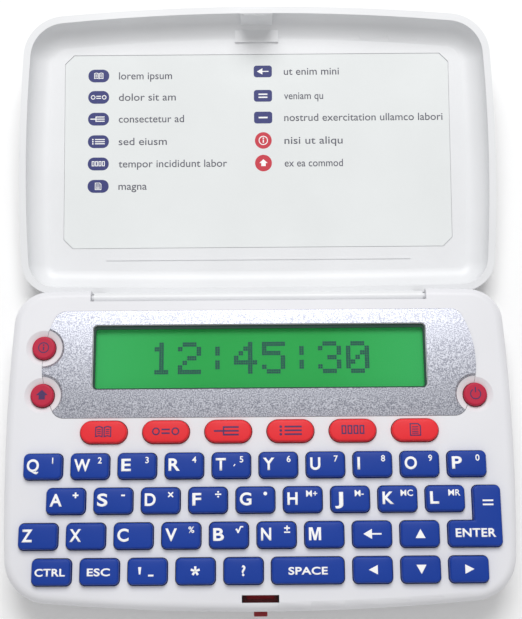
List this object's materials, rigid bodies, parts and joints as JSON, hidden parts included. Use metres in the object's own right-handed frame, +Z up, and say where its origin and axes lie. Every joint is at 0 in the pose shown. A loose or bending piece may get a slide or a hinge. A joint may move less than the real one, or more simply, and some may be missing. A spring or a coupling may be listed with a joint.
{
  "type": "electronic dictionary",
  "caption": "Pocket electronic dictionary: letter keyboard and green screen in a clamshell case with a latching hinged lid.",
  "frame": {"origin": "middle of the base's underside, on the surface it stands on", "axes": "+X to the user's right, +Y to the back, where the open lid lies, +Z up out of the keyboard"},
  "size_m": [0.1366, 0.1714, 0.0247],
  "materials": {
    "case_white": "white moulded plastic, satin",
    "bezel_silver": "silver metallic paint on plastic",
    "window_clear": "clear, polished",
    "display": "green backlit liquid crystal display",
    "membrane_rubber": "translucent silicone",
    "circuit_board": "green solder mask",
    "screw_steel": "zinc plated",
    "cell_steel": "bright nickel plate",
    "key_blue": "blue moulded plastic, satin",
    "key_red": "red moulded plastic, satin",
    "latch_red": "dark red moulded plastic",
    "guide_card": "printed card, smooth"
  },
  "bodies": {
    "base": {"bottom_case": "case_white", "top_case": "case_white", "screen_bezel": "bezel_silver", "screen_window": "window_clear", "lcd_module": "display", "keypad_membrane": "membrane_rubber", "main_board": "circuit_board", "screws": "screw_steel", "coin_cells": "cell_steel"},
    "lid": {"lid_shell": "case_white", "key_guide_card": "guide_card"},
    "latch_button": {"latch_button": "latch_red"},
    "battery_door": {"battery_door": "case_white"},
    "key_q": {"key_q": "key_blue"},
    "key_w": {"key_w": "key_blue"},
    "key_e": {"key_e": "key_blue"},
    "key_r": {"key_r": "key_blue"},
    "key_t": {"key_t": "key_blue"},
    "key_y": {"key_y": "key_blue"},
    "key_u": {"key_u": "key_blue"},
    "key_i": {"key_i": "key_blue"},
    "key_o": {"key_o": "key_blue"},
    "key_p": {"key_p": "key_blue"},
    "key_a": {"key_a": "key_blue"},
    "key_s": {"key_s": "key_blue"},
    "key_d": {"key_d": "key_blue"},
    "key_f": {"key_f": "key_blue"},
    "key_g": {"key_g": "key_blue"},
    "key_h": {"key_h": "key_blue"},
    "key_j": {"key_j": "key_blue"},
    "key_k": {"key_k": "key_blue"},
    "key_l": {"key_l": "key_blue"},
    "key_z": {"key_z": "key_blue"},
    "key_x": {"key_x": "key_blue"},
    "key_c": {"key_c": "key_blue"},
    "key_v": {"key_v": "key_blue"},
    "key_b": {"key_b": "key_blue"},
    "key_n": {"key_n": "key_blue"},
    "key_m": {"key_m": "key_blue"},
    "key_back": {"key_back": "key_blue"},
    "key_up": {"key_up": "key_blue"},
    "key_ctrl": {"key_ctrl": "key_blue"},
    "key_esc": {"key_esc": "key_blue"},
    "key_quote": {"key_quote": "key_blue"},
    "key_star": {"key_star": "key_blue"},
    "key_question": {"key_question": "key_blue"},
    "key_space": {"key_space": "key_blue"},
    "key_left": {"key_left": "key_blue"},
    "key_down": {"key_down": "key_blue"},
    "key_right": {"key_right": "key_blue"},
    "key_enter": {"key_enter": "key_blue"},
    "pill_book": {"pill_book": "key_red"},
    "pill_words": {"pill_words": "key_red"},
    "pill_verbs": {"pill_verbs": "key_red"},
    "pill_list": {"pill_list": "key_red"},
    "pill_index": {"pill_index": "key_red"},
    "pill_page": {"pill_page": "key_red"},
    "button_info": {"button_info": "key_red"},
    "button_shift": {"button_shift": "key_red"},
    "button_power": {"button_power": "key_red"}
  },
  "joints": [
    {"name": "lid_hinge", "type": "hinge", "parent": "base", "child": "lid", "pos_m": [0, 0.04155, 0.0117], "axis": [1, 0, 0], "range_deg": [0, 172]},
    {"name": "latch_slide", "type": "slide", "parent": "base", "child": "latch_button", "axis": [0, 1, 0], "range_m": [0, 0.0012], "stiffness_N_per_m": 400, "springref_m": -0.0005},
    {"name": "battery_door_slide", "type": "slide", "parent": "base", "child": "battery_door", "axis": [-1, 0, 0], "range_m": [0, 0.055]},
    {"name": "key_q_press", "type": "slide", "parent": "base", "child": "key_q", "axis": [0, 0, -1], "range_m": [0, 0.0012], "stiffness_N_per_m": 300, "springref_m": -0.0003, "deforming": ["keypad_membrane"]},
    {"name": "key_w_press", "type": "slide", "parent": "base", "child": "key_w", "axis": [0, 0, -1], "range_m": [0, 0.0012], "stiffness_N_per_m": 300, "springref_m": -0.0003, "deforming": ["keypad_membrane"]},
    {"name": "key_e_press", "type": "slide", "parent": "base", "child": "key_e", "axis": [0, 0, -1], "range_m": [0, 0.0012], "stiffness_N_per_m": 300, "springref_m": -0.0003, "deforming": ["keypad_membrane"]},
    {"name": "key_r_press", "type": "slide", "parent": "base", "child": "key_r", "axis": [0, 0, -1], "range_m": [0, 0.0012], "stiffness_N_per_m": 300, "springref_m": -0.0003, "deforming": ["keypad_membrane"]},
    {"name": "key_t_press", "type": "slide", "parent": "base", "child": "key_t", "axis": [0, 0, -1], "range_m": [0, 0.0012], "stiffness_N_per_m": 300, "springref_m": -0.0003, "deforming": ["keypad_membrane"]},
    {"name": "key_y_press", "type": "slide", "parent": "base", "child": "key_y", "axis": [0, 0, -1], "range_m": [0, 0.0012], "stiffness_N_per_m": 300, "springref_m": -0.0003, "deforming": ["keypad_membrane"]},
    {"name": "key_u_press", "type": "slide", "parent": "base", "child": "key_u", "axis": [0, 0, -1], "range_m": [0, 0.0012], "stiffness_N_per_m": 300, "springref_m": -0.0003, "deforming": ["keypad_membrane"]},
    {"name": "key_i_press", "type": "slide", "parent": "base", "child": "key_i", "axis": [0, 0, -1], "range_m": [0, 0.0012], "stiffness_N_per_m": 300, "springref_m": -0.0003, "deforming": ["keypad_membrane"]},
    {"name": "key_o_press", "type": "slide", "parent": "base", "child": "key_o", "axis": [0, 0, -1], "range_m": [0, 0.0012], "stiffness_N_per_m": 300, "springref_m": -0.0003, "deforming": ["keypad_membrane"]},
    {"name": "key_p_press", "type": "slide", "parent": "base", "child": "key_p", "axis": [0, 0, -1], "range_m": [0, 0.0012], "stiffness_N_per_m": 300, "springref_m": -0.0003, "deforming": ["keypad_membrane"]},
    {"name": "key_a_press", "type": "slide", "parent": "base", "child": "key_a", "axis": [0, 0, -1], "range_m": [0, 0.0012], "stiffness_N_per_m": 300, "springref_m": -0.0003, "deforming": ["keypad_membrane"]},
    {"name": "key_s_press", "type": "slide", "parent": "base", "child": "key_s", "axis": [0, 0, -1], "range_m": [0, 0.0012], "stiffness_N_per_m": 300, "springref_m": -0.0003, "deforming": ["keypad_membrane"]},
    {"name": "key_d_press", "type": "slide", "parent": "base", "child": "key_d", "axis": [0, 0, -1], "range_m": [0, 0.0012], "stiffness_N_per_m": 300, "springref_m": -0.0003, "deforming": ["keypad_membrane"]},
    {"name": "key_f_press", "type": "slide", "parent": "base", "child": "key_f", "axis": [0, 0, -1], "range_m": [0, 0.0012], "stiffness_N_per_m": 300, "springref_m": -0.0003, "deforming": ["keypad_membrane"]},
    {"name": "key_g_press", "type": "slide", "parent": "base", "child": "key_g", "axis": [0, 0, -1], "range_m": [0, 0.0012], "stiffness_N_per_m": 300, "springref_m": -0.0003, "deforming": ["keypad_membrane"]},
    {"name": "key_h_press", "type": "slide", "parent": "base", "child": "key_h", "axis": [0, 0, -1], "range_m": [0, 0.0012], "stiffness_N_per_m": 300, "springref_m": -0.0003, "deforming": ["keypad_membrane"]},
    {"name": "key_j_press", "type": "slide", "parent": "base", "child": "key_j", "axis": [0, 0, -1], "range_m": [0, 0.0012], "stiffness_N_per_m": 300, "springref_m": -0.0003, "deforming": ["keypad_membrane"]},
    {"name": "key_k_press", "type": "slide", "parent": "base", "child": "key_k", "axis": [0, 0, -1], "range_m": [0, 0.0012], "stiffness_N_per_m": 300, "springref_m": -0.0003, "deforming": ["keypad_membrane"]},
    {"name": "key_l_press", "type": "slide", "parent": "base", "child": "key_l", "axis": [0, 0, -1], "range_m": [0, 0.0012], "stiffness_N_per_m": 300, "springref_m": -0.0003, "deforming": ["keypad_membrane"]},
    {"name": "key_z_press", "type": "slide", "parent": "base", "child": "key_z", "axis": [0, 0, -1], "range_m": [0, 0.0012], "stiffness_N_per_m": 300, "springref_m": -0.0003, "deforming": ["keypad_membrane"]},
    {"name": "key_x_press", "type": "slide", "parent": "base", "child": "key_x", "axis": [0, 0, -1], "range_m": [0, 0.0012], "stiffness_N_per_m": 300, "springref_m": -0.0003, "deforming": ["keypad_membrane"]},
    {"name": "key_c_press", "type": "slide", "parent": "base", "child": "key_c", "axis": [0, 0, -1], "range_m": [0, 0.0012], "stiffness_N_per_m": 300, "springref_m": -0.0003, "deforming": ["keypad_membrane"]},
    {"name": "key_v_press", "type": "slide", "parent": "base", "child": "key_v", "axis": [0, 0, -1], "range_m": [0, 0.0012], "stiffness_N_per_m": 300, "springref_m": -0.0003, "deforming": ["keypad_membrane"]},
    {"name": "key_b_press", "type": "slide", "parent": "base", "child": "key_b", "axis": [0, 0, -1], "range_m": [0, 0.0012], "stiffness_N_per_m": 300, "springref_m": -0.0003, "deforming": ["keypad_membrane"]},
    {"name": "key_n_press", "type": "slide", "parent": "base", "child": "key_n", "axis": [0, 0, -1], "range_m": [0, 0.0012], "stiffness_N_per_m": 300, "springref_m": -0.0003, "deforming": ["keypad_membrane"]},
    {"name": "key_m_press", "type": "slide", "parent": "base", "child": "key_m", "axis": [0, 0, -1], "range_m": [0, 0.0012], "stiffness_N_per_m": 300, "springref_m": -0.0003, "deforming": ["keypad_membrane"]},
    {"name": "key_back_press", "type": "slide", "parent": "base", "child": "key_back", "axis": [0, 0, -1], "range_m": [0, 0.0012], "stiffness_N_per_m": 300, "springref_m": -0.0003, "deforming": ["keypad_membrane"]},
    {"name": "key_up_press", "type": "slide", "parent": "base", "child": "key_up", "axis": [0, 0, -1], "range_m": [0, 0.0012], "stiffness_N_per_m": 300, "springref_m": -0.0003, "deforming": ["keypad_membrane"]},
    {"name": "key_ctrl_press", "type": "slide", "parent": "base", "child": "key_ctrl", "axis": [0, 0, -1], "range_m": [0, 0.0012], "stiffness_N_per_m": 300, "springref_m": -0.0003, "deforming": ["keypad_membrane"]},
    {"name": "key_esc_press", "type": "slide", "parent": "base", "child": "key_esc", "axis": [0, 0, -1], "range_m": [0, 0.0012], "stiffness_N_per_m": 300, "springref_m": -0.0003, "deforming": ["keypad_membrane"]},
    {"name": "key_quote_press", "type": "slide", "parent": "base", "child": "key_quote", "axis": [0, 0, -1], "range_m": [0, 0.0012], "stiffness_N_per_m": 300, "springref_m": -0.0003, "deforming": ["keypad_membrane"]},
    {"name": "key_star_press", "type": "slide", "parent": "base", "child": "key_star", "axis": [0, 0, -1], "range_m": [0, 0.0012], "stiffness_N_per_m": 300, "springref_m": -0.0003, "deforming": ["keypad_membrane"]},
    {"name": "key_question_press", "type": "slide", "parent": "base", "child": "key_question", "axis": [0, 0, -1], "range_m": [0, 0.0012], "stiffness_N_per_m": 300, "springref_m": -0.0003, "deforming": ["keypad_membrane"]},
    {"name": "key_space_press", "type": "slide", "parent": "base", "child": "key_space", "axis": [0, 0, -1], "range_m": [0, 0.0012], "stiffness_N_per_m": 300, "springref_m": -0.0003, "deforming": ["keypad_membrane"]},
    {"name": "key_left_press", "type": "slide", "parent": "base", "child": "key_left", "axis": [0, 0, -1], "range_m": [0, 0.0012], "stiffness_N_per_m": 300, "springref_m": -0.0003, "deforming": ["keypad_membrane"]},
    {"name": "key_down_press", "type": "slide", "parent": "base", "child": "key_down", "axis": [0, 0, -1], "range_m": [0, 0.0012], "stiffness_N_per_m": 300, "springref_m": -0.0003, "deforming": ["keypad_membrane"]},
    {"name": "key_right_press", "type": "slide", "parent": "base", "child": "key_right", "axis": [0, 0, -1], "range_m": [0, 0.0012], "stiffness_N_per_m": 300, "springref_m": -0.0003, "deforming": ["keypad_membrane"]},
    {"name": "key_enter_press", "type": "slide", "parent": "base", "child": "key_enter", "axis": [0, 0, -1], "range_m": [0, 0.0012], "stiffness_N_per_m": 300, "springref_m": -0.0003, "deforming": ["keypad_membrane"]},
    {"name": "pill_book_press", "type": "slide", "parent": "base", "child": "pill_book", "axis": [0, 0, -1], "range_m": [0, 0.0012], "stiffness_N_per_m": 300, "springref_m": -0.0003, "deforming": ["keypad_membrane"]},
    {"name": "pill_words_press", "type": "slide", "parent": "base", "child": "pill_words", "axis": [0, 0, -1], "range_m": [0, 0.0012], "stiffness_N_per_m": 300, "springref_m": -0.0003, "deforming": ["keypad_membrane"]},
    {"name": "pill_verbs_press", "type": "slide", "parent": "base", "child": "pill_verbs", "axis": [0, 0, -1], "range_m": [0, 0.0012], "stiffness_N_per_m": 300, "springref_m": -0.0003, "deforming": ["keypad_membrane"]},
    {"name": "pill_list_press", "type": "slide", "parent": "base", "child": "pill_list", "axis": [0, 0, -1], "range_m": [0, 0.0012], "stiffness_N_per_m": 300, "springref_m": -0.0003, "deforming": ["keypad_membrane"]},
    {"name": "pill_index_press", "type": "slide", "parent": "base", "child": "pill_index", "axis": [0, 0, -1], "range_m": [0, 0.0012], "stiffness_N_per_m": 300, "springref_m": -0.0003, "deforming": ["keypad_membrane"]},
    {"name": "pill_page_press", "type": "slide", "parent": "base", "child": "pill_page", "axis": [0, 0, -1], "range_m": [0, 0.0012], "stiffness_N_per_m": 300, "springref_m": -0.0003, "deforming": ["keypad_membrane"]},
    {"name": "button_info_press", "type": "slide", "parent": "base", "child": "button_info", "axis": [0, 0, -1], "range_m": [0, 0.0012], "stiffness_N_per_m": 300, "springref_m": -0.0003, "deforming": ["keypad_membrane"]},
    {"name": "button_shift_press", "type": "slide", "parent": "base", "child": "button_shift", "axis": [0, 0, -1], "range_m": [0, 0.0012], "stiffness_N_per_m": 300, "springref_m": -0.0003, "deforming": ["keypad_membrane"]},
    {"name": "button_power_press", "type": "slide", "parent": "base", "child": "button_power", "axis": [0, 0, -1], "range_m": [0, 0.0012], "stiffness_N_per_m": 300, "springref_m": -0.0003, "deforming": ["keypad_membrane"]}
  ]
}
